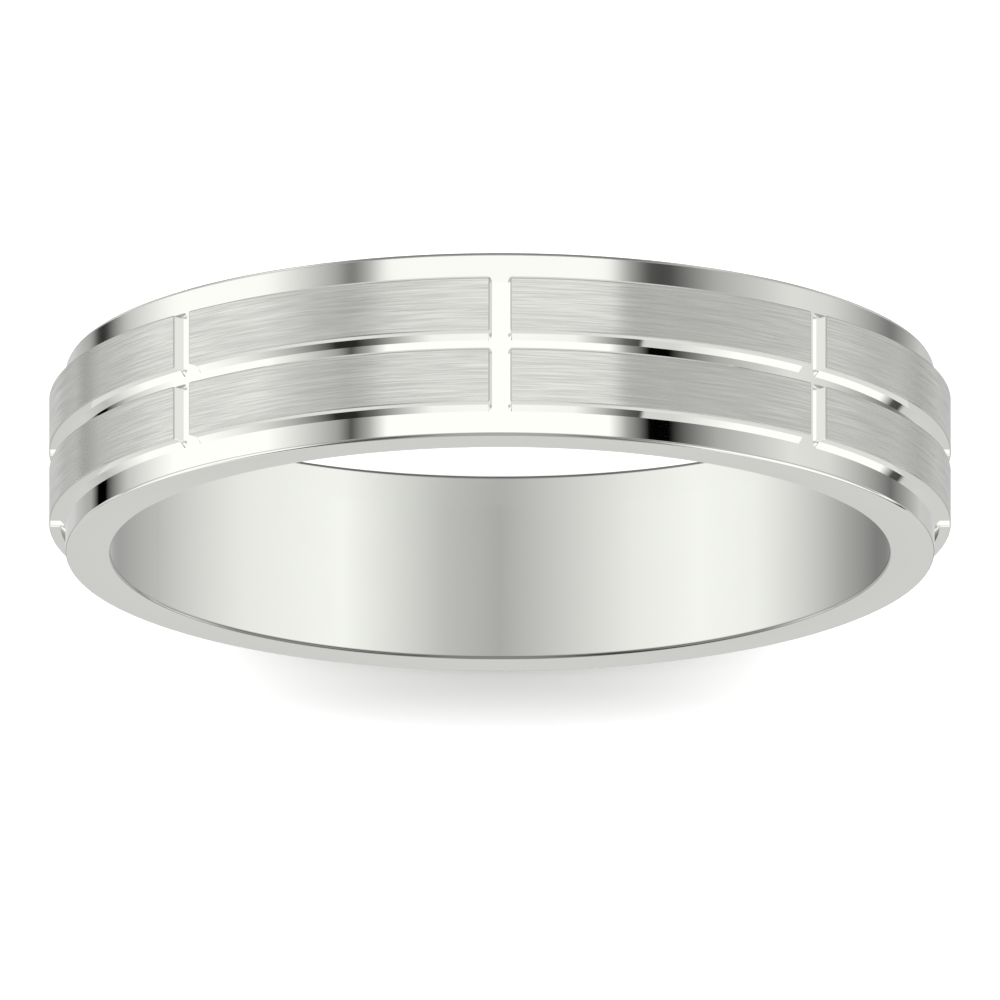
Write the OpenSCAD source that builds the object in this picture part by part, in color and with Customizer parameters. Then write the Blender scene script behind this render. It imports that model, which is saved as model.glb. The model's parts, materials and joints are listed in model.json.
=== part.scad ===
// Wedding band with two rows of raised brushed bricks between plain polished rims.
// Millimetres. The ring stands on edge: bore axis along Y, front edge face at -Y, top at +Z.
// The origin is the centre of the bore.

/* [Band] */
// Diameter of the bore, which sets the finger size
bore_d = 19.8;       // [14:0.1:24]
// Width of the band along the finger
band_w = 4.85;       // [4.5:0.05:8]
// Thickness of the wall under the plain rims
rim_t = 1.15;        // [0.8:0.05:2]
// Width of each plain rim beside the bricks
rim_w = 0.785;       // [0.4:0.005:1.2]
// Radius that eases the edges of the bore for comfort
bore_ease = 0.08;    // [0.05:0.01:0.3]
// Chamfer on the outer edges of the rims
rim_chamfer = 0.09;  // [0.02:0.01:0.2]

/* [Bricks] */
// Bricks in each row round the band
columns = 8;         // [6:1:16]
// How far the bricks stand above the rims
brick_rise = 0.42;   // [0.2:0.01:0.8]
// Gap between the two rows, along the finger
row_gap = 0.48;      // [0.3:0.01:0.8]
// Gap between neighbouring bricks of a row
column_gap = 0.526;  // [0.3:0.002:1]
// Bevel round the top edges of a brick
brick_bevel = 0.03;  // [0.01:0.01:0.1]
// Depth of the seat that locates a brick in the band
seat_depth = 0.12;   // [0.05:0.01:0.3]

/* [Colours] */
// Polished metal of the band
polished_colour = [0.86, 0.86, 0.83];
// Brushed metal of the bricks
brushed_colour = [0.70, 0.70, 0.68];

/* [Hidden] */
$fn = 180;
bore_r = bore_d / 2;
rim_r = bore_r + rim_t;
foot_r = rim_r - seat_depth;
top_r = rim_r + brick_rise;
pitch = 360 / columns;
brick_w = (band_w - row_gap) / 2 - rim_w;
over = 1;

// Rows along the finger: name and the lower Y of the row's bricks
ROWS = [
    ["front", -row_gap / 2 - brick_w],
    ["back", row_gap / 2]
];

function brick_name(row, column) = str(row[0], "_brick_", column);
BRICK_NAMES = [for (row = ROWS) for (column = [1:columns]) brick_name(row, column)];

// Lays a shape turned about Z down, so that its axis runs along +Y.
module along_finger() {
    rotate([-90, 0, 0]) children();
}

// Puts a slice that starts at the top of the ring in its column, counted clockwise from the front.
module in_column(column) {
    rotate([0, 0, (column - 1) * pitch - 90]) children();
}

// Half section of the plain band: X is the radius, Y runs along the finger.
module band_section() {
    difference() {
        polygon([
            [bore_r, -band_w / 2],
            [rim_r - rim_chamfer, -band_w / 2],
            [rim_r, -band_w / 2 + rim_chamfer],
            [rim_r, band_w / 2 - rim_chamfer],
            [rim_r - rim_chamfer, band_w / 2],
            [bore_r, band_w / 2]
        ]);
        for (side = [-1, 1]) scale([1, side]) bore_edge_waste();
    }
}

// What is taken off one edge of the bore to round it.
module bore_edge_waste() {
    difference() {
        translate([bore_r - over, band_w / 2 - bore_ease]) square([bore_ease + over, bore_ease + over]);
        translate([bore_r + bore_ease, band_w / 2 - bore_ease]) circle(r = bore_ease);
    }
}

// Half section of a brick, from the floor of its seat to its bevelled top.
module brick_section(low_y) {
    high_y = low_y + brick_w;
    polygon([
        [foot_r, low_y],
        [top_r - brick_bevel, low_y],
        [top_r, low_y + brick_bevel],
        [top_r, high_y - brick_bevel],
        [top_r - brick_bevel, high_y],
        [foot_r, high_y]
    ]);
}

// Cross groove with parallel walls and a bevelled mouth, on the +X side of the axis.
module cross_groove() {
    half = column_gap / 2;
    mouth = half + brick_bevel + over;
    translate([0, 0, -band_w])
    linear_extrude(height = 2 * band_w)
    polygon([
        [foot_r - over, -half],
        [top_r - brick_bevel, -half],
        [top_r + over, -mouth],
        [top_r + over, mouth],
        [top_r - brick_bevel, half],
        [foot_r - over, half]
    ]);
}

// Slice of a turned section, one pitch long, with the cross grooves taken off both ends.
module slice() {
    difference() {
        rotate_extrude(angle = pitch) children();
        cross_groove();
        rotate([0, 0, pitch]) cross_groove();
    }
}

// Waste of the seat that one brick is let into.
module seat(low_y, column) {
    in_column(column) slice() translate([foot_r, low_y]) square([seat_depth + over, brick_w]);
}

// The plain band with a shallow seat for every brick.
module base_band() {
    color(polished_colour)
    along_finger()
    difference() {
        rotate_extrude() band_section();
        for (row = ROWS) for (column = [1:columns]) seat(row[1], column);
    }
}

// One raised brick, soldered into its seat.
module brick(low_y, column) {
    color(brushed_colour)
    along_finger()
    in_column(column)
    slice()
    brick_section(low_y);
}

base_band();
for (row = ROWS) for (column = [1:columns])
    brick(row[1], column);
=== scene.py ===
"""Wedding band with two rows of raised brushed bricks between polished rims.

Laid out as an add-on: sizes and colours are properties, each group of pieces has an operator,
and the panel in the 3D view's sidebar lists them. Lengths are in metres unless a name says millimetres.
The ring stands on edge: bore along Y, front edge face at -Y, top at +Z, origin in the centre of the bore.
"""

import json
import math

import bpy
from bpy.props import FloatProperty, FloatVectorProperty, IntProperty, PointerProperty
from mathutils import Matrix, Vector


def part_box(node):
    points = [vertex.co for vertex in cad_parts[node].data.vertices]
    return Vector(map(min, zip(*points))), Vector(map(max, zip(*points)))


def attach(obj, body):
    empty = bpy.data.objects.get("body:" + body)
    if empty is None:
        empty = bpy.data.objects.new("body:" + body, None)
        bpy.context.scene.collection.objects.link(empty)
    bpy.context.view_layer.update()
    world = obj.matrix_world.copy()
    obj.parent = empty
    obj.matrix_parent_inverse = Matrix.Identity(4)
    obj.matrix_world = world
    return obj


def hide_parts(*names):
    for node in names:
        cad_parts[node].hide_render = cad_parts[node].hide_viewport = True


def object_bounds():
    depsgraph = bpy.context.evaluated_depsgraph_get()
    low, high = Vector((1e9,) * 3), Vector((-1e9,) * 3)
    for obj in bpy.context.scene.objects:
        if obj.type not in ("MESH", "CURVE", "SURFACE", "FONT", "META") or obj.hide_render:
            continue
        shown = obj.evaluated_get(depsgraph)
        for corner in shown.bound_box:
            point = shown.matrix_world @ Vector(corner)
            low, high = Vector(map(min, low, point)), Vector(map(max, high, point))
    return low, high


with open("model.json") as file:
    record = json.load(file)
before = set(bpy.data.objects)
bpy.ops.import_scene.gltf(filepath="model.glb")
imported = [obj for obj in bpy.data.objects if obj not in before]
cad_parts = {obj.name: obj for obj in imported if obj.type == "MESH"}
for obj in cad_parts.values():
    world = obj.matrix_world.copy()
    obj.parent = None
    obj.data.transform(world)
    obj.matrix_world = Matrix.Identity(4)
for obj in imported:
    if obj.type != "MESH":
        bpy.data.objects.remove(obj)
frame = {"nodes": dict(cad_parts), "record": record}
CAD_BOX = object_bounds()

bl_info = {
    "name": "Brick Pattern Wedding Band",
    "version": (1, 0, 0),
    "blender": (4, 5, 0),
    "location": "3D View > Sidebar > Ring",
    "description": "Builds a polished wedding band with two rows of raised brushed bricks",
    "category": "Add Mesh",
}

MM = 0.001


# Sizes read from the frame

def finger_bore():
    """The record's bore mount, which states the finger size."""
    return next(m for m in frame["record"]["mounts"] if m["name"] == "finger_bore")


def radii(node):
    """How far each corner of a node is from the axis of the bore."""
    return [math.hypot(v.co.x, v.co.z) for v in frame["nodes"][node].data.vertices]


BRICK_NODES = sorted(name for name in frame["nodes"] if "_brick_" in name)
BAND_LOW, BAND_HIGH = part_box("base_band")
BRICK_LOW, BRICK_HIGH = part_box("back_brick_1")
BAND_WIDTH = BAND_HIGH.y - BAND_LOW.y
BORE_RADIUS = finger_bore()["dims"]["r_mm"] * MM
BORE_EDGE = (BAND_WIDTH - finger_bore()["dims"]["length_mm"] * MM) / 2
RIM_RADIUS = max(radii("base_band"))
BRICK_RADIUS = max(radii("back_brick_1"))
SEAT_DEPTH = RIM_RADIUS - min(radii("back_brick_1"))


# Node trees as Python expressions

class Value:
    """A socket of a node tree. An expression on Values adds its Math nodes."""

    def __init__(self, graph, socket):
        self.graph = graph
        self.socket = socket

    def math(self, operation, *values):
        return self.graph.node("ShaderNodeMath", {"operation": operation}, values)

    def __add__(self, other):
        return self.math("ADD", self, other)

    def __sub__(self, other):
        return self.math("SUBTRACT", self, other)

    def __rsub__(self, other):
        return self.math("SUBTRACT", other, self)

    def __mul__(self, other):
        return self.math("MULTIPLY", self, other)

    def __truediv__(self, other):
        return self.math("DIVIDE", self, other)

    def __rtruediv__(self, other):
        return self.math("DIVIDE", other, self)

    def __neg__(self):
        return self.math("MULTIPLY", self, -1)

    def __abs__(self):
        return self.math("ABSOLUTE", self)

    def __lt__(self, other):
        return self.math("LESS_THAN", self, other)

    def __gt__(self, other):
        return self.math("GREATER_THAN", self, other)

    __radd__ = __add__
    __rmul__ = __mul__

    def least(self, other):
        return self.math("MINIMUM", self, other)

    def most(self, other):
        return self.math("MAXIMUM", self, other)

    def held(self):
        """The value kept from 0 to 1."""
        return self.least(1).most(0)

    def length(self):
        """Length of a vector."""
        return self.graph.vector_math("LENGTH", self).out("Value")

    def root(self):
        return self.math("SQRT", self)

    def sine(self):
        return self.math("SINE", self)

    def cosine(self):
        return self.math("COSINE", self)

    def step(self, low, high):
        """0 at low, 1 at high and a smooth step between them."""
        return self.graph.node(
            "ShaderNodeMapRange",
            {"interpolation_type": "SMOOTHSTEP"},
            {"Value": self, "From Min": low, "From Max": high},
        )

    def out(self, name):
        """Another output of the node that this value comes from."""
        return Value(self.graph, self.socket.node.outputs[name])


class Graph:
    """A node tree that is being written."""

    def __init__(self, tree):
        self.tree = tree
        self.group_input = None

    def node(self, kind, settings=None, inputs=(), output=0):
        """Adds a node and gives one of its outputs as a Value.

        Settings are made before the sockets are filled.
        """
        node = self.tree.nodes.new(kind)
        for name, value in (settings or {}).items():
            if name == "stops":
                write_ramp(node.color_ramp, value)
            elif name == "items":
                for _ in range(value - len(node.index_switch_items)):
                    node.index_switch_items.new()
            else:
                setattr(node, name, value)
        pairs = inputs.items() if isinstance(inputs, dict) else enumerate(inputs)
        for key, value in pairs:
            if isinstance(value, Value):
                self.tree.links.new(value.socket, node.inputs[key])
            else:
                node.inputs[key].default_value = value
        return Value(self, node.outputs[output]) if node.outputs else None

    def split(self, vector):
        """The X of a vector, whose Y and Z are outputs of the same node."""
        return self.node("ShaderNodeSeparateXYZ", None, (vector,))

    def place(self):
        """X of Object coordinates, with Y and Z beside it."""
        return self.split(self.node("ShaderNodeTexCoord", None, (), output="Object"))

    def ramp(self, factor, stops):
        """A grey that runs through stops, each a place from 0 to 1 and a brightness."""
        return self.node("ShaderNodeValToRGB", {"stops": stops}, (factor,))

    def vector(self, x, y, z=0):
        return self.node("ShaderNodeCombineXYZ", None, (x, y, z))

    def vector_math(self, operation, *values):
        return self.node("ShaderNodeVectorMath", {"operation": operation}, values)

    def mix(self, factor, first, second):
        """Colour mix."""
        sockets = {0: factor, 6: first, 7: second}
        return self.node("ShaderNodeMix", {"data_type": "RGBA"}, sockets, output=2)

    def noise(self, vector, scale, detail=3.0, roughness=0.55, dimensions="3D"):
        """Noise from 0 to 1."""
        sockets = {"Vector": vector, "Scale": scale, "Detail": detail, "Roughness": roughness}
        return self.node("ShaderNodeTexNoise", {"noise_dimensions": dimensions}, sockets)

    def asked(self, name, kind, value=None):
        """Adds a named input to a geometry tree."""
        socket = self.tree.interface.new_socket(name, in_out="INPUT", socket_type="NodeSocket" + kind)
        if value is not None:
            socket.default_value = value
        if self.group_input is None:
            self.group_input = self.tree.nodes.new("NodeGroupInput")
        return Value(self, self.group_input.outputs[name])

    def choose(self, index, values):
        """The value that an index picks from a list."""
        settings = {"data_type": "FLOAT", "items": len(values)}
        return self.node("GeometryNodeIndexSwitch", settings, (index, *values))

    def finish(self, geometry):
        """Ends a geometry tree."""
        self.tree.interface.new_socket("Geometry", in_out="OUTPUT", socket_type="NodeSocketGeometry")
        self.node("NodeGroupOutput", None, (geometry,))


def grey(brightness):
    return (brightness, brightness, brightness, 1)


def write_ramp(ramp, stops):
    """Sets a ramp's stops, each a place from 0 to 1 and a brightness."""
    elements = ramp.elements
    while len(elements) > 1:
        elements.remove(elements[-1])
    for number, (place, brightness) in enumerate(stops):
        element = elements[0] if number == 0 else elements.new(place)
        element.position = place
        element.color = grey(brightness)


def geometry_graph(name):
    return Graph(bpy.data.node_groups.new(name, "GeometryNodeTree"))


def surface_graph(name, base_color):
    """A new material and its graph, with base_color kept for the solid viewport."""
    material = bpy.data.materials.new(name)
    material.use_nodes = True
    material.node_tree.nodes.clear()
    material.diffuse_color = (*base_color, 1)
    return material, Graph(material.node_tree)


# Properties

def length(name, description, value):
    return FloatProperty(name=name, description=description, default=value, min=0, precision=5, unit="LENGTH")


def colour(name, description, value):
    return FloatVectorProperty(
        name=name, description=description, default=value, min=0, max=1, size=3, subtype="COLOR"
    )


class BandSizes(bpy.types.PropertyGroup):
    """Sizes of the plain band."""

    bore_radius: length("Bore Radius", "Radius of the finger hole", BORE_RADIUS)
    rim_radius: length("Rim Radius", "Radius of the plain rims and groove floors", RIM_RADIUS)
    width: length("Width", "Width of the band along the finger", BAND_WIDTH)
    bore_edge: length("Bore Edge", "Rounding of the edges of the bore", BORE_EDGE)
    rim_edge: length("Rim Edge", "Bevel on the outer edges", 0.09 * MM)
    seat_depth: length("Seat Depth", "How deep each brick is let into the band", SEAT_DEPTH)
    steps: IntProperty(name="Steps", description="Facets round the band for each brick", default=132, min=12)


class BrickSizes(bpy.types.PropertyGroup):
    """Sizes of the raised bricks."""

    top_radius: length("Top Radius", "Radius of the brushed tops", BRICK_RADIUS)
    inner: length("Inner Side", "From the middle of the band to the near side of a brick", BRICK_LOW.y)
    outer: length("Outer Side", "From the middle of the band to the far side of a brick", BRICK_HIGH.y)
    groove: length("Groove", "Width of the cross grooves", 2 * BRICK_LOW.x)
    bevel: length("Bevel", "Rounding of the top edges", 0.03 * MM)
    foot: length("Foot", "Width of the slanted facet at the foot", 0.145 * MM)
    foot_rise: length("Foot Rise", "Height of the slanted facet at the foot", 0.135 * MM)
    end_foot: length("End Foot", "Width of the facet at the foot of the two ends", 0.06 * MM)
    corner: length("Corner", "Radius of the upright corners", 0.045 * MM)
    columns: IntProperty(
        name="Columns", description="Bricks in each row", default=len(BRICK_NODES) // 2, min=3
    )


class RingColours(bpy.types.PropertyGroup):
    """Colours of the metal."""

    polished: colour("Polished", "Polished white gold", (0.617, 0.624, 0.591))
    brushed: colour("Brushed", "Brushed white gold", (0.617, 0.624, 0.591))


class StageSettings(bpy.types.PropertyGroup):
    """Floor, light and camera."""

    floor: colour("Floor", "Paper floor", (0.9, 0.9, 0.9))
    room: FloatProperty(name="Room", description="Brightness of the white room", default=1.1, min=0)
    glow: FloatProperty(
        name="Floor Glow", description="Light of the floor itself, away from the ring", default=0.3, min=0
    )
    cards: FloatProperty(name="Cards", description="Brightness of the light cards", default=1.62, min=0)
    elevation: FloatProperty(
        name="Elevation", description="Height of the camera", default=math.radians(74.25), subtype="ANGLE"
    )
    frame_width: length("Frame Width", "What the camera sees from side to side", 25.43 * MM)
    drop: length("Drop", "How far the camera looks below the ring's centre, across its view", 0.971 * MM)


# Finishes

BUMP_DEPTH = 0.002 * MM
SPECULAR_TINT = 0.78
# Zones in millimetres, each from where it starts to where it is full: inward from an edge
# face, aside of the ring's middle, and towards the back. The edge and aside zones place painted shade on the
# bevels and bore edges; the back zone places the hazier polish.
EDGE_OUTSIDE, EDGE_INSIDE = (0.004, 0.012), (0.10, 0.06)
EDGE_ASIDE, BORE_ASIDE = (5.5, 3.5), (8.2, 6.5)
BACK_SIDE = (1.5, 1.7)
# Metal that is at least this many millimetres nearer the ring's centre than the rims counts as the bore.
BELOW_RIM = 0.3


def ring_places(graph):
    """Object coordinates in millimetres, distance round the ring, and distance along the finger."""
    place = graph.node("ShaderNodeTexCoord", None, (), output="Object")
    millimetres = graph.node("ShaderNodeVectorMath", {"operation": "SCALE"}, {0: place, "Scale": 1 / MM})
    x = graph.split(millimetres)
    turn = x.math("ARCTAN2", x, x.out("Z"))
    return millimetres, turn * (RIM_RADIUS / MM), x.out("Y")


def metal(graph, base_color, roughness, settings, height, bump):
    """Ends a metal surface with its shader."""
    normal = graph.node(
        "ShaderNodeBump", None, {"Strength": bump, "Distance": BUMP_DEPTH, "Height": height}
    )
    sockets = {"Base Color": base_color, "Metallic": 1, "Roughness": roughness, "Normal": normal}
    sockets |= {"Specular Tint": grey(SPECULAR_TINT), **settings}
    shader = graph.node("ShaderNodeBsdfPrincipled", None, sockets)
    graph.node("ShaderNodeOutputMaterial", None, (shader,))


def shade_of(base_color, amount):
    """The same colour at another brightness."""
    return [channel * amount for channel in base_color] + [1]


def shades(graph, factor, base_color, dark, light):
    """The metal's colour between a darker and a lighter shade."""
    return graph.mix(factor, shade_of(base_color, dark), shade_of(base_color, light))


def polished_metal(colours):
    """Mirror polish with the faint hairlines that a buffing wheel leaves round the band.

    The outer bevels have painted shade near the top and bottom of the ring, and the edges of the bore have
    painted shade all round, darkest near the top and bottom. It stands in for the dark lines these edges
    reflect. The polish is a little hazier towards the back face.
    """
    material, graph = surface_graph("polished_white_gold", colours.polished)
    place, round_ring, along = ring_places(graph)
    clouds = graph.noise(place, 0.8)
    hairlines = graph.noise(graph.vector(round_ring * 0.5, along * 55), 1, detail=4)
    marks = hairlines.step(0.62, 0.8)
    inward = BAND_WIDTH / MM / 2 - abs(along)
    bevel = inward.step(*EDGE_INSIDE) * inward.step(*EDGE_OUTSIDE)
    aside = abs(graph.split(place))
    bore = place.length() < RIM_RADIUS / MM - BELOW_RIM
    # Painted shade: the bevels and bore edges are darkened in colour towards the top and bottom of the ring,
    # standing in for the dark lines they reflect. The same edges are also made rougher.
    edge = bevel * aside.step(*EDGE_ASIDE).most(bore)
    light_painted_shade, dark_painted_shade = shade_of(colours.polished, 0.67), shade_of(colours.polished, 0.25)
    bore_shade = graph.mix(aside.step(*BORE_ASIDE), light_painted_shade, dark_painted_shade)
    painted_edge_shade = graph.mix(bore, shade_of(colours.polished, 0.42), bore_shade)
    tint = shades(graph, clouds * 0.5 + 0.25 - marks * 0.2, colours.polished, 0.98, 1.02)
    tint = graph.mix(edge, tint, painted_edge_shade)
    haze = along.step(*BACK_SIDE) * 0.09
    roughness = clouds * 0.02 + marks * 0.05 + edge * 0.15 + haze + 0.03
    metal(graph, tint, roughness, {}, hairlines, 0.02)
    return material


def brushed_metal(colours):
    """Fine brushing round the band: long streaks of uneven depth, with painted shade on the bevelled border
    of each brick.
    """
    material, graph = surface_graph("brushed_white_gold", colours.brushed)
    round_ring = graph.split(graph.node("ShaderNodeUVMap", {"uv_map": "UVMap"}))
    along = round_ring.out("Y")
    broad = graph.noise(graph.vector(round_ring * 0.30, along * 7 + round_ring * 0.12), 1, 2, 0.5, "2D")
    fine = graph.noise(graph.vector(round_ring * 0.45, along * 26 - round_ring * 0.2), 1, 3, 0.55, "2D")
    hair = graph.noise(graph.vector(round_ring * 1.0, along * 42 + round_ring * 0.3), 1, 2, 0.5, "2D")
    streaks = broad * 0.22 + fine * 0.48 + hair * 0.3
    contrast = streaks.step(0.33, 0.67)
    ring = graph.node("ShaderNodeAttribute", {"attribute_name": "ring_number"}, (), output="Fac")
    # Painted shade: the bevel round each brick's top is darkened in colour, standing in for the dark that it
    # reflects.
    painted_shade_border = ring.step(0.4, 1.2)
    tint = shades(graph, contrast, colours.brushed, 0.865, 1.115)
    tint = graph.mix(painted_shade_border, tint, shade_of(colours.brushed, 0.8))
    roughness = 0.25 - contrast * 0.05
    tangent = graph.node("ShaderNodeTangent", {"direction_type": "UV_MAP", "uv_map": "UVMap"})
    settings = {"Anisotropic": 1.0, "Anisotropic Rotation": 0.25, "Tangent": tangent}
    metal(graph, tint, roughness, settings, streaks, 0.24)
    return material


# Geometry trees

SHARP_EDGE = math.radians(32)
# Points in each rounded corner of the band's section.
ROUND_POINTS = 5
BEVEL_RINGS, FOOT_RINGS, CELLS_ACROSS = 3, 2, 6
# How many fewer cells a brick has than its share of the band has facets.
SPARE_STEPS = 8
# How far the underside of a brick's foot dips into the band.
SINK = 0.01 * MM
MERGE_DISTANCE = 0.0002 * MM


def band_tree(material):
    """Turned band: a closed section swept round the bore, with a seat pressed in under every brick."""
    graph = geometry_graph("turned_band")
    bore = graph.asked("Bore Radius", "Float")
    rim = graph.asked("Rim Radius", "Float")
    width = graph.asked("Width", "Float")
    bore_edge = graph.asked("Bore Edge", "Float")
    rim_edge = graph.asked("Rim Edge", "Float")
    inner = graph.asked("Brick Inner Side", "Float")
    outer = graph.asked("Brick Outer Side", "Float")
    groove = graph.asked("Groove", "Float")
    depth = graph.asked("Seat Depth", "Float")
    columns = graph.asked("Columns", "Int")
    steps = graph.asked("Steps", "Int")
    half = width / 2
    index = graph.node("GeometryNodeInputIndex")
    wall = bore - rim
    corners = [
        (wall, half, bore_edge), (wall, -half, bore_edge),
        (0, -half, rim_edge), (0, -outer, 0), (0, -inner, 0),
        (0, inner, 0), (0, outer, 0), (0, half, rim_edge),
    ]
    radial, side, rounding = (graph.choose(index, list(column)) for column in zip(*corners))
    line = graph.node("GeometryNodeMeshLine", None, {"Count": len(corners)})
    position = graph.vector(radial, side)
    placed = graph.node("GeometryNodeSetPosition", None, {"Geometry": line, "Position": position})
    section = graph.node("GeometryNodeMeshToCurve", None, (placed,))
    section = graph.node("GeometryNodeSetSplineCyclic", None, {"Geometry": section, "Cyclic": True})
    section = graph.node(
        "GeometryNodeFilletCurve",
        {"mode": "POLY"},
        {"Curve": section, "Count": ROUND_POINTS, "Radius": rounding},
    )
    circle = {"Resolution": columns * steps, "Radius": rim}
    hoop = graph.node("GeometryNodeCurvePrimitiveCircle", None, circle)
    band = graph.node("GeometryNodeCurveToMesh", None, {"Curve": hoop, "Profile Curve": section})
    band = graph.node("GeometryNodeTransform", None, {"Geometry": band, "Rotation": (-math.pi / 2, 0, 0)})
    x = graph.split(graph.node("GeometryNodeInputPosition"))
    along = abs(x.out("Y"))
    pitch = 2 * math.pi / columns
    turn = x.math("FLOORED_MODULO", x.math("ARCTAN2", x, x.out("Z")), pitch)
    from_groove = turn.least(pitch - turn)
    clear = x.math("ARCSINE", groove / 2 / rim)
    reach = (x * x + x.out("Z") * x.out("Z")).root()
    seats = (from_groove > clear) * (along > inner) * (along < outer) * (reach > rim - depth / 2)
    band = graph.node(
        "GeometryNodeExtrudeMesh",
        {"mode": "FACES"},
        {"Mesh": band, "Selection": seats, "Offset Scale": -depth, "Individual": False},
    )
    graph.finish(finished_mesh(graph, band, material))
    return graph.tree


def finished_mesh(graph, mesh, material):
    """Smooth shading with hard edges kept, in millimetres, made real and given its material."""
    smooth = graph.node(
        "GeometryNodeSetShadeSmooth", {"domain": "FACE"}, {"Geometry": mesh, "Shade Smooth": True}
    )
    angle = graph.node("GeometryNodeInputMeshEdgeAngle")
    crisp = graph.node(
        "GeometryNodeSetShadeSmooth",
        {"domain": "EDGE"},
        {"Geometry": smooth, "Selection": angle > SHARP_EDGE, "Shade Smooth": False},
    )
    grown = graph.node("GeometryNodeTransform", None, {"Geometry": crisp, "Scale": (1 / MM, 1 / MM, 1 / MM)})
    real = graph.node("GeometryNodeRealizeInstances", None, {"Geometry": grown})
    return graph.node("GeometryNodeSetMaterial", None, {"Geometry": real, "Material": material})


def brick_tree(top_material, side_material):
    """Raised brick: rings of facets step out from its flat top, over the bevel, down the wall and out along
    the slanted foot, and a second sheet closes it from below. Both sheets are bent round the band."""
    graph = geometry_graph("raised_brick")
    top = graph.asked("Top Radius", "Float")
    rim = graph.asked("Rim Radius", "Float")
    depth = graph.asked("Seat Depth", "Float")
    inner = graph.asked("Inner Side", "Float")
    outer = graph.asked("Outer Side", "Float")
    groove = graph.asked("Groove", "Float")
    bevel = graph.asked("Bevel", "Float")
    foot = graph.asked("Foot", "Float")
    foot_rise = graph.asked("Foot Rise", "Float")
    end_foot = graph.asked("End Foot", "Float")
    corner = graph.asked("Corner", "Float")
    columns = graph.asked("Columns", "Int")
    steps = graph.asked("Steps", "Int")
    column = graph.asked("Column", "Int")
    side = graph.asked("Side", "Float")
    rings = BEVEL_RINGS + FOOT_RINGS + 2
    cells_round = steps - SPARE_STEPS
    grid_x = cells_round + 2 * rings
    grid_y = CELLS_ACROSS + 2 * rings
    grid = graph.node(
        "GeometryNodeMeshGrid",
        None,
        {"Size X": grid_x, "Size Y": grid_y, "Vertices X": grid_x + 1, "Vertices Y": grid_y + 1},
    )
    x = graph.split(graph.node("GeometryNodeInputPosition"))
    y = x.out("Y")
    half_x, half_y = cells_round / 2, CELLS_ACROSS / 2
    out_x = (abs(x) - half_x).most(0)
    out_y = (abs(y) - half_y).most(0)
    ring = x.math("ROUND", out_x.most(out_y))
    fan = (out_y - out_x) / ring * (math.pi / 4) + math.pi / 4
    quarter = math.pi / 2
    core_x = (x / half_x).least(1).most(-1)
    core_y = (y / half_y).least(1).most(-1)

    # The upper sheet: how far out and how high each ring is.
    first = ring.least(1)
    over = ((ring - 1) / BEVEL_RINGS).held()
    drop = (ring - (BEVEL_RINGS + 1)).held()
    flare = ((ring - (BEVEL_RINGS + 2)) / FOOT_RINGS).held()
    upper_out = (
        first * (corner - bevel) - corner
        + bevel * (over * quarter).sine()
        + foot * flare
    )
    upper_high = (
        top - bevel * (1 - (over * quarter).cosine())
        - drop * (top - bevel - rim - foot_rise)
        - foot_rise * flare
    )
    # The lower sheet: floor of the seat, up its wall, and out under the foot.
    under = ((ring - 2) / (rings - 2)).held()
    lower_out = first * corner - corner + foot * under
    lower_high = rim - depth + (depth - SINK) * (ring - 1).held() + under * SINK

    def bent(out, flat, high):
        pitch_half = math.pi / columns
        wall_turn = pitch_half - x.math("ARCSINE", groove / 2 / high) - corner / high
        push = corner + out
        end_push = push - foot * flat + end_foot * (flat * 2 - 1).most(0)
        turn = core_x * wall_turn + x.math("SIGN", x) * end_push * fan.cosine() / high
        middle = (column * 2 - 1) * pitch_half
        turn = turn + middle
        span = (outer - inner) / 2 - corner
        along = core_y * span + x.math("SIGN", y) * push * fan.sine()
        along = along + side * (inner + outer) / 2
        where = graph.vector(turn.sine() * high, along, turn.cosine() * high)
        marked = graph.node(
            "GeometryNodeStoreNamedAttribute",
            {"data_type": "FLOAT", "domain": "POINT"},
            {"Geometry": grid, "Name": "ring_number", "Value": ring},
        )
        mapped = graph.node(
            "GeometryNodeStoreNamedAttribute",
            {"data_type": "FLOAT2", "domain": "CORNER"},
            {"Geometry": marked, "Name": "UVMap", "Value": graph.vector(turn * top / MM, along / MM)},
        )
        return graph.node("GeometryNodeSetPosition", None, {"Geometry": mapped, "Position": where})

    upper = bent(upper_out, flare, upper_high)
    lower = graph.node("GeometryNodeFlipFaces", None, (bent(lower_out, under, lower_high),))
    both = graph.node("GeometryNodeJoinGeometry")
    for sheet in (lower, upper):
        graph.tree.links.new(sheet.socket, both.socket.node.inputs[0])
    closed = graph.node("GeometryNodeMergeByDistance", None, {"Geometry": both, "Distance": MERGE_DISTANCE})
    solid = finished_mesh(graph, closed, side_material)
    number = graph.node("GeometryNodeInputNamedAttribute", {"data_type": "FLOAT"}, {"Name": "ring_number"})
    bent_x = graph.split(graph.node("GeometryNodeInputPosition"))
    reach = (bent_x * bent_x + bent_x.out("Z") * bent_x.out("Z")).root()
    on_top = (number < BEVEL_RINGS + 1.01) * (reach > rim + (top - rim) / 2)
    solid = graph.node(
        "GeometryNodeSetMaterial", None, {"Geometry": solid, "Selection": on_top, "Material": top_material}
    )
    graph.finish(solid)
    return graph.tree


# Making pieces

def set_inputs(modifier, values):
    """Sets a geometry modifier's inputs by their names."""
    for item in modifier.node_group.interface.items_tree:
        if item.in_out == "INPUT":
            modifier[item.identifier] = values[item.name]


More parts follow.
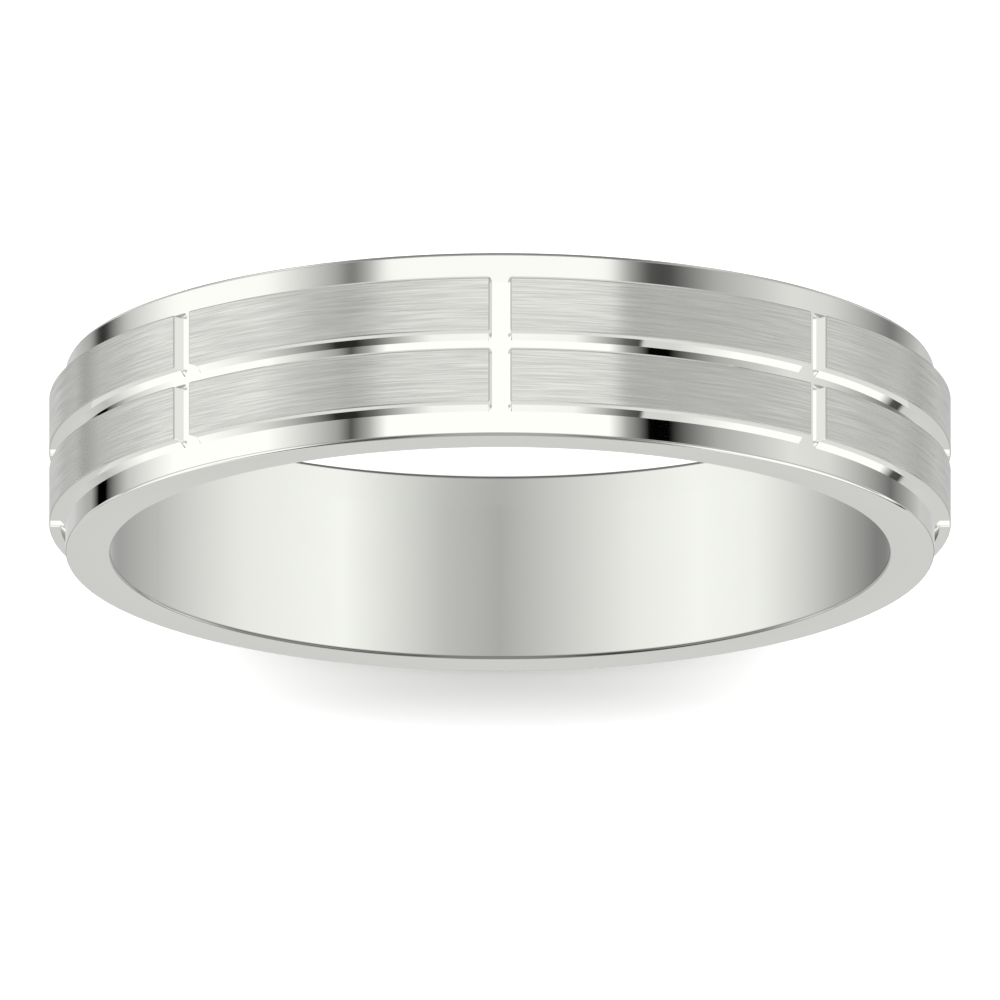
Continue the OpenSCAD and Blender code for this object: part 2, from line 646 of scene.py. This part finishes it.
def piece_from_tree(name, tree, values):
    """Evaluates a geometry tree and keeps the result as a plain mesh object.

    The tree hands over millimetres, as the normals are weighed by face area and areas this small in metres
    would be dropped.
    """
    maker = bpy.data.objects.new(name + "_maker", bpy.data.meshes.new(name))
    bpy.context.scene.collection.objects.link(maker)
    modifier = maker.modifiers.new("Shape", "NODES")
    modifier.node_group = tree
    set_inputs(modifier, values)
    even = maker.modifiers.new("Even Shading", "WEIGHTED_NORMAL")
    even.keep_sharp = True
    evaluated = maker.evaluated_get(bpy.context.evaluated_depsgraph_get())
    mesh = bpy.data.meshes.new_from_object(evaluated)
    mesh.transform(Matrix.Scale(MM, 4))
    mesh.name = name
    bpy.data.objects.remove(maker)
    piece = bpy.data.objects.new(name, mesh)
    bpy.context.scene.collection.objects.link(piece)
    piece.visible_glossy = False
    if not mesh.polygons:
        raise RuntimeError(name + " came out empty")
    return piece


def finish_named(name):
    """A finish that the operators share, made when it is first asked for."""
    makers = {"polished_white_gold": polished_metal, "brushed_white_gold": brushed_metal}
    return bpy.data.materials.get(name) or makers[name](bpy.context.scene.ring_colours)


class RING_OT_base_band(bpy.types.Operator):
    """Turn the polished band with a seat for every brick"""

    bl_idname = "ring.base_band"
    bl_label = "Base Band"

    def execute(self, context):
        sizes, bricks = context.scene.ring_band, context.scene.ring_bricks
        values = {
            "Bore Radius": sizes.bore_radius,
            "Rim Radius": sizes.rim_radius,
            "Width": sizes.width,
            "Bore Edge": sizes.bore_edge,
            "Rim Edge": sizes.rim_edge,
            "Brick Inner Side": bricks.inner,
            "Brick Outer Side": bricks.outer,
            "Groove": bricks.groove,
            "Seat Depth": sizes.seat_depth,
            "Columns": bricks.columns,
            "Steps": sizes.steps,
        }
        band = piece_from_tree("band", band_tree(finish_named("polished_white_gold")), values)
        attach(band, "root")
        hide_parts("base_band")
        return {"FINISHED"}


class RING_OT_bricks(bpy.types.Operator):
    """Set the raised brushed bricks into the band"""

    bl_idname = "ring.bricks"
    bl_label = "Bricks"

    def execute(self, context):
        sizes, bricks = context.scene.ring_band, context.scene.ring_bricks
        tree = brick_tree(finish_named("brushed_white_gold"), finish_named("polished_white_gold"))
        values = {
            "Top Radius": bricks.top_radius,
            "Rim Radius": sizes.rim_radius,
            "Seat Depth": sizes.seat_depth,
            "Inner Side": bricks.inner,
            "Outer Side": bricks.outer,
            "Groove": bricks.groove,
            "Bevel": bricks.bevel,
            "Foot": bricks.foot,
            "Foot Rise": bricks.foot_rise,
            "End Foot": bricks.end_foot,
            "Corner": bricks.corner,
            "Columns": bricks.columns,
            "Steps": sizes.steps,
        }
        for node in BRICK_NODES:
            row, column = node.split("_brick_")
            values["Column"] = int(column)
            values["Side"] = 1.0 if row == "back" else -1.0
            brick = piece_from_tree(node + "_finished", tree, values)
            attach(brick, "root")
            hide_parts(node)
        return {"FINISHED"}


# Stage

# How far back the hoop of cards stands, as the Y of a unit direction.
BELT = 0.271
# Each stop is the edge of a card or a flag: degrees from straight overhead, and brightness.
LEFT_CARDS = (
    (0, 1.0), (30, 1.0), (35, 0.4), (40, 0.08), (44, 0.35), (65, 1.0), (97, 1.0), (118, 0.55),
    (130, 0.0), (135, 0.0), (140, 0.4), (158, 0.65), (180, 0.5),
)
RIGHT_CARDS = (
    (0, 1.0), (29, 1.0), (34, 0.35), (40, 0.0), (46, 0.0), (60, 0.4), (84, 0.73), (98, 0.68),
    (128, 0.16), (150, 0.62), (180, 0.5),
)
SATIN_LEFT = (
    (0, 0.55), (28, 0.55), (32, 0.48), (40, 0.58), (48, 0.45), (66, 0.55), (102, 0.55),
    (118, 0.43), (134, 1.0), (145, 0.45), (180, 0.22),
)
SATIN_RIGHT = (
    (0, 0.55), (30, 0.62), (31.5, 0.4), (42, 0.62), (66, 0.44), (100, 0.47), (110, 0.45),
    (130, 0.83), (142, 0.48), (160, 0.3), (170, 0.15),
)
BORE_DEEP_LEFT = ((0, 0.4), (60, 0.8), (90, 0.9), (120, 0.85), (180, 0.4))
BORE_DEEP_RIGHT = ((0, 0.4), (24, 0.5), (70, 0.9), (120, 0.8), (180, 0.5))
BORE_ENDS_LEFT = ((90, 0.37), (135, 0.37), (180, 0.5))
BORE_ENDS_RIGHT = ((90, 0.2), (144, 0.23), (180, 0.4))
# In front of the ring the stops go by how far aside a card is, and below it by how far down.
FRONT_LEFT = ((0, 0.95), (0.2, 0.9), (0.36, 0.14), (0.41, 0.02), (0.46, 0.02), (0.7, 1.0))
FRONT_RIGHT = ((0, 0.95), (0.22, 0.9), (0.36, 0.13), (0.4, 0.05), (0.41, 0.65), (0.48, 0.65), (0.62, 1.0))
LOW_LEFT = ((0.45, 1.0), (0.65, 0.5), (0.78, 0.65))
LOW_RIGHT = ((0.58, 1.0), (0.64, 0.08), (0.68, 0.06), (0.7, 0.6), (0.8, 0.66))
# Behind the ring: low in the centre, low at the sides, and high.
BACK_CENTRE, BACK_SIDES, BACK_HIGH = 0.25, 0.9, 0.67
# Where one group of cards gives way to the next, along an axis of a unit direction.
SATIN_NEAR, SATIN_FAR = (0.04, 0.09), (0.5, 0.38)
FRONT_Y, LOW_Z, BACK_Y, BACK_X = (-0.3, -0.4), (-0.3, -0.36), (0.8, 0.95), (0.2, 0.5)
UNDER_Z, UNDER_Y = (-0.45, -0.55), (0.1, 0.0)


def cards(graph, turn_degrees, stops):
    """Brightness of the cards at an angle from straight overhead."""
    return graph.ramp(turn_degrees / 180, [(angle / 180, brightness) for angle, brightness in stops])


def both_sides(graph, x, z, left, right):
    """Cards on the left and right of the ring, by the angle from straight overhead about its axis."""
    degrees = abs(x.math("ARCTAN2", x, z)) * (180 / math.pi)
    return graph.mix(x > 0, cards(graph, degrees, left), cards(graph, degrees, right))


def front_cards(graph, x, z):
    """Cards in front of the ring, and below it further down."""
    aside = abs(x)
    front = graph.mix(x > 0, graph.ramp(aside, FRONT_LEFT), graph.ramp(aside, FRONT_RIGHT))
    low = graph.mix(x > 0, graph.ramp(-z, LOW_LEFT), graph.ramp(-z, LOW_RIGHT))
    return graph.mix(z.step(*LOW_Z), front, low)


def back_cards(graph, x, z):
    """Cards behind the ring: even above its middle, and below it dark in the centre and light aside."""
    back = graph.mix(abs(x).step(*BACK_X), grey(BACK_CENTRE), grey(BACK_SIDES))
    return graph.mix(z > 0, grey(BACK_HIGH), back)


def room_light(settings):
    """White room with a hoop of light cards and flags, which only mirrors see."""
    world = bpy.data.worlds.new("studio")
    world.use_nodes = True
    world.node_tree.nodes.clear()
    graph = Graph(world.node_tree)
    x = graph.split(graph.node("ShaderNodeTexCoord", None, (), output="Generated"))
    y, z = x.out("Y"), x.out("Z")
    hoop = both_sides(graph, x, z, LEFT_CARDS, RIGHT_CARDS)
    satin = both_sides(graph, x, z, SATIN_LEFT, SATIN_RIGHT)
    lean = abs(y - BELT)
    mirror = graph.mix(lean.step(*SATIN_NEAR) * lean.step(*SATIN_FAR), hoop, satin)
    in_front = y.step(*FRONT_Y).most(z.step(*UNDER_Z) * y.step(*UNDER_Y))
    mirror = graph.mix(in_front, mirror, front_cards(graph, x, z))
    mirror = graph.mix(y.step(*BACK_Y), mirror, back_cards(graph, x, z))
    mirror_light = graph.node("ShaderNodeBackground", None, (mirror, settings.cards))
    room = graph.node("ShaderNodeBackground", None, (grey(1), settings.room))
    ray = graph.node("ShaderNodeLightPath", None, (), output="Is Glossy Ray")
    light = graph.node("ShaderNodeMixShader", None, (ray, room, mirror_light))
    graph.node("ShaderNodeOutputWorld", None, (light,))
    bpy.context.scene.world = world


FLOOR_HALF = 0.6
# Where the floor's own glow reaches its setting: aside of the ring's middle, and beyond its edge faces.
# Further out it grows on, up to the most that it may be.
GLOW_ASIDE, GLOW_BEYOND, GLOW_MOST = 7.0 * MM, 1.7 * MM, 0.5


def floor_sheet(settings):
    """Pale paper under the ring, which glows away from it so that it goes to plain white."""
    half, level = FLOOR_HALF, CAD_BOX[0].z
    mesh = bpy.data.meshes.new("floor")
    corners = [(x, y, level) for x, y in ((-half, -half), (half, -half), (half, half), (-half, half))]
    mesh.from_pydata(corners, [], [(0, 1, 2, 3)])
    floor = bpy.data.objects.new("floor", mesh)
    bpy.context.scene.collection.objects.link(floor)
    material, graph = surface_graph("paper", settings.floor)
    x = graph.place()
    beyond = (abs(x.out("Y")) - BAND_HIGH.y).most(0) / GLOW_BEYOND
    aside = x / GLOW_ASIDE
    behind = x.out("Y").step(0, BAND_HIGH.y)
    glow = ((aside * aside + beyond * beyond + behind) * settings.glow).least(GLOW_MOST)
    paper = graph.node("ShaderNodeBsdfDiffuse", None, ((*settings.floor, 1),))
    light = graph.node("ShaderNodeEmission", None, (grey(1), glow))
    shader = graph.node("ShaderNodeAddShader", None, (paper, light))
    graph.node("ShaderNodeOutputMaterial", None, (shader,))
    mesh.materials.append(material)
    floor.visible_glossy = False


TUBE_CLEARANCE, TUBE_BACK, TUBE_SIDES = 0.5 * MM, 9.5 * MM, 96
TUBE_OUTSIDE = 0.78
# Behind the ring the tube is clear to rays from outside it, and to rays shorter than this.
SHORTEST_RAY = 9.0 * MM
CARD_JOIN = 0.025 * MM


def bore_tube(settings):
    """Short tube of cards inside the band's wall and on behind it, which only mirrors see.

    It lights the bore. A ray's length picks one of two sets of cards, one for short rays and one for long
    ones. They meet at rays whose chord across the tube is as long as its radius.
    """
    radius = BORE_RADIUS + TUBE_CLEARANCE
    corners, faces = [], []
    for number in range(TUBE_SIDES):
        turn = 2 * math.pi * number / TUBE_SIDES
        for y in (BAND_LOW.y, TUBE_BACK):
            corners.append((radius * math.sin(turn), y, radius * math.cos(turn)))
        after = (number + 1) % TUBE_SIDES
        faces.append((2 * number, 2 * after, 2 * after + 1, 2 * number + 1))
    mesh = bpy.data.meshes.new("bore_tube")
    mesh.from_pydata(corners, [], faces)
    tube = bpy.data.objects.new("bore_tube", mesh)
    bpy.context.scene.collection.objects.link(tube)
    material, graph = surface_graph("bore_cards", (1, 1, 1))
    x = graph.place()
    deep = both_sides(graph, x, x.out("Z"), BORE_DEEP_LEFT, BORE_DEEP_RIGHT)
    ends = both_sides(graph, x, x.out("Z"), BORE_ENDS_LEFT, BORE_ENDS_RIGHT)
    distance = graph.node("ShaderNodeLightPath", None, (), output="Ray Length")
    switch = radius / math.sin(settings.elevation)
    tone = graph.mix(distance.step(switch - CARD_JOIN, switch + CARD_JOIN), ends, deep)
    inside = graph.node("ShaderNodeNewGeometry", None, (), output="Backfacing")
    tone = graph.mix(inside, grey(TUBE_OUTSIDE), tone)
    glow = graph.node("ShaderNodeEmission", None, (tone, settings.cards))
    clear = graph.node("ShaderNodeBsdfTransparent")
    from_bore = inside * (distance > SHORTEST_RAY)
    shown = from_bore.most(x.out("Y") < BAND_HIGH.y)
    shader = graph.node("ShaderNodeMixShader", None, (shown, clear, glow))
    graph.node("ShaderNodeOutputMaterial", None, (shader,))
    mesh.materials.append(material)
    for ray in ("camera", "diffuse", "transmission", "volume_scatter", "shadow"):
        setattr(tube, "visible_" + ray, False)


CAMERA_DISTANCE, CAMERA_REACH = 0.1, 2.0


def ring_camera(settings):
    """Camera without perspective, above and in front of the ring."""
    data = bpy.data.cameras.new("camera")
    camera = bpy.data.objects.new("camera", data)
    bpy.context.scene.collection.objects.link(camera)
    data.type = "ORTHO"
    data.ortho_scale = settings.frame_width
    data.clip_start, data.clip_end = 1 * MM, CAMERA_REACH
    back = Vector((0, -math.cos(settings.elevation), math.sin(settings.elevation)))
    up = Vector((0, math.sin(settings.elevation), math.cos(settings.elevation)))
    camera.rotation_mode = "QUATERNION"
    camera.location = back * CAMERA_DISTANCE - up * settings.drop
    camera.rotation_quaternion = (-back).to_track_quat("-Z", "Y")
    bpy.context.scene.camera = camera


class RING_OT_stage(bpy.types.Operator):
    """Lay the floor and set the light and the camera"""

    bl_idname = "ring.stage"
    bl_label = "Stage"

    def execute(self, context):
        settings = context.scene.ring_stage
        context.scene.view_settings.view_transform = "Standard"
        room_light(settings)
        floor_sheet(settings)
        bore_tube(settings)
        ring_camera(settings)
        return {"FINISHED"}


class RING_PT_panel(bpy.types.Panel):
    """Sizes, colours and buttons for the ring"""

    bl_idname = "RING_PT_panel"
    bl_label = "Brick Pattern Wedding Band"
    bl_space_type = "VIEW_3D"
    bl_region_type = "UI"
    bl_category = "Ring"

    def draw(self, context):
        groups = (
            (context.scene.ring_band, "ring.base_band"),
            (context.scene.ring_bricks, "ring.bricks"),
            (context.scene.ring_colours, None),
            (context.scene.ring_stage, "ring.stage"),
        )
        for group, operator in groups:
            box = self.layout.box()
            for name in group.__annotations__:
                box.prop(group, name)
            if operator:
                box.operator(operator)


CLASSES = (
    BandSizes, BrickSizes, RingColours, StageSettings,
    RING_OT_base_band, RING_OT_bricks, RING_OT_stage, RING_PT_panel,
)
GROUPS = {
    "ring_band": BandSizes,
    "ring_bricks": BrickSizes,
    "ring_colours": RingColours,
    "ring_stage": StageSettings,
}


def register():
    for cls in CLASSES:
        bpy.utils.register_class(cls)
    for name, group in GROUPS.items():
        setattr(bpy.types.Scene, name, PointerProperty(type=group))


def unregister():
    for name in GROUPS:
        delattr(bpy.types.Scene, name)
    for cls in reversed(CLASSES):
        bpy.utils.unregister_class(cls)


def main():
    register()
    bpy.ops.ring.base_band()
    bpy.ops.ring.bricks()
    bpy.ops.ring.stage()


if __name__ == "__main__":
    main()
